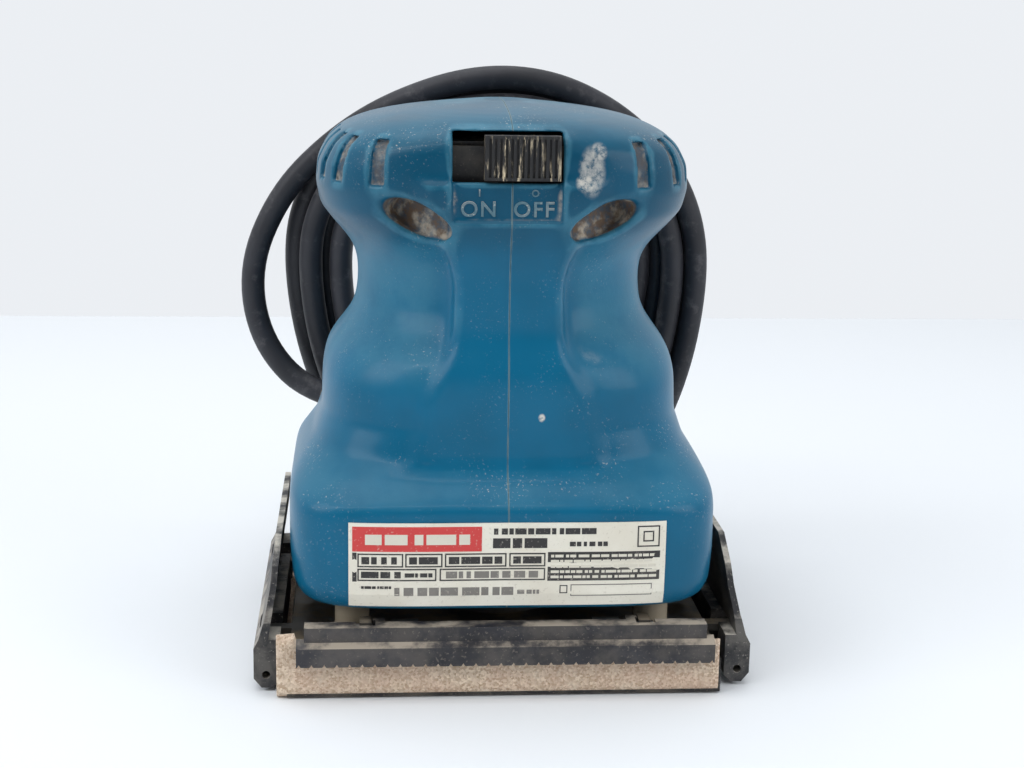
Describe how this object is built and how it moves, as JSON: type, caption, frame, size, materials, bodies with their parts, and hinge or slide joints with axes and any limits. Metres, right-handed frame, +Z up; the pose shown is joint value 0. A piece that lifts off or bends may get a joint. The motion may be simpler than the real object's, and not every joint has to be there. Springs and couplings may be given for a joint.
{
  "type": "orbital sander",
  "caption": "Palm-grip orbital finishing sander with a two-half housing, sliding switch, square pad with toothed sheet clamps, side levers and a coiled mains cord.",
  "frame": {"origin": "on the underside of the abrasive sheet, below the motor axis", "axes": "+Z up along the motor shaft, -Y to the switch side (front), +X to the right as seen from the front"},
  "size_m": [0.1437, 0.1558, 0.1554],
  "materials": {
    "teal_housing": "satin moulded plastic",
    "black_plastic": "moulded plastic",
    "label": "printed plate",
    "black_steel": "black painted steel",
    "steel": "machined steel",
    "cast_alloy": "cast alloy",
    "copper": "enamelled copper",
    "carbon": "carbon",
    "brass": "brass",
    "pad_rubber": "cellular rubber",
    "leg_rubber": "pale rubber",
    "abrasive": "coated abrasive paper",
    "cord_rubber": "cord rubber"
  },
  "bodies": {
    "housing": {"housing_left": "teal_housing", "housing_right": "teal_housing", "rating_label": "label", "housing_screws": "steel", "switch_body": "black_plastic", "cord_guard": "cord_rubber", "cord_clamp": "black_plastic", "cord_clamp_screws": "steel", "field_core": "steel", "field_coils": "copper", "brush_holders": "brass", "carbon_brushes": "carbon", "brush_springs": "steel", "noise_capacitor": "black_plastic", "upper_bearing_outer_ring": "steel", "upper_bearing_sleeve": "pad_rubber", "lower_bearing_outer_ring": "steel", "baffle_plate": "black_plastic", "lead_wires": "cord_rubber", "cord_lead": "cord_rubber", "cord_coil": "cord_rubber", "cord_tail": "cord_rubber", "plug_body": "cord_rubber", "plug_blades": "brass"},
    "rotor": {"armature_shaft": "steel", "armature_core": "steel", "armature_winding": "copper", "commutator": "copper", "upper_bearing_inner_ring": "steel", "upper_bearing_balls": "steel", "lower_bearing_inner_ring": "steel", "lower_bearing_balls": "steel", "fan": "black_plastic", "counterweight": "steel", "eccentric": "steel", "eccentric_bearing_inner_ring": "steel", "eccentric_bearing_balls": "steel"},
    "pad": {"base_plate": "cast_alloy", "eccentric_bearing_outer_ring": "steel", "bearing_retainer": "steel", "retainer_screws": "steel", "rubber_pad": "pad_rubber", "abrasive_sheet": "abrasive", "pad_screws": "steel", "flexible_legs": "leg_rubber", "leg_screws": "steel", "clamp_pins": "steel", "clamp_springs": "steel", "lever_pins": "steel", "lever_springs": "steel"},
    "front_clamp": {"front_clamp_bar": "black_steel"},
    "rear_clamp": {"rear_clamp_bar": "black_steel"},
    "lever_left": {"left_lever": "black_plastic"},
    "lever_right": {"right_lever": "black_plastic"},
    "switch": {"switch_knob": "black_plastic", "switch_slide_plate": "black_plastic"}
  },
  "joints": [
    {"name": "motor_spin", "type": "hinge", "parent": "housing", "child": "rotor", "pos_m": [0, 0, 0.06], "axis": [0, 0, 1], "continuous": true},
    {"name": "pad_orbit", "type": "hinge", "parent": "rotor", "child": "pad", "pos_m": [0, -0.0008, 0.016], "axis": [0, 0, 1], "continuous": true, "deforming": ["flexible_legs"]},
    {"name": "front_clamp_swing", "type": "hinge", "parent": "pad", "child": "front_clamp", "pos_m": [0, -0.0463, 0.0175], "axis": [-1, 0, 0], "range_deg": [0, 20], "stiffness_Nm_per_rad": 0.03, "springref_deg": -20.05},
    {"name": "rear_clamp_swing", "type": "hinge", "parent": "pad", "child": "rear_clamp", "pos_m": [0, 0.0447, 0.0175], "axis": [1, 0, 0], "range_deg": [0, 20], "stiffness_Nm_per_rad": 0.03, "springref_deg": -20.05},
    {"name": "left_lever_swing", "type": "hinge", "parent": "pad", "child": "lever_left", "pos_m": [-0.0615, -0.0008, 0.0045], "axis": [0, -1, 0], "range_deg": [0, 20], "stiffness_Nm_per_rad": 0.03, "springref_deg": -20.05},
    {"name": "right_lever_swing", "type": "hinge", "parent": "pad", "child": "lever_right", "pos_m": [0.0615, -0.0008, 0.0045], "axis": [0, 1, 0], "range_deg": [0, 20], "stiffness_Nm_per_rad": 0.03, "springref_deg": -20.05},
    {"name": "switch_slide", "type": "slide", "parent": "housing", "child": "switch", "axis": [-1, 0, 0], "range_m": [0, 0.0074]}
  ],
  "couplings": [
    {"joint": "pad_orbit", "follows": "motor_spin", "ratio": -1},
    {"joint": "front_clamp_swing", "follows": "left_lever_swing", "ratio": 1},
    {"joint": "rear_clamp_swing", "follows": "right_lever_swing", "ratio": 1}
  ]
}
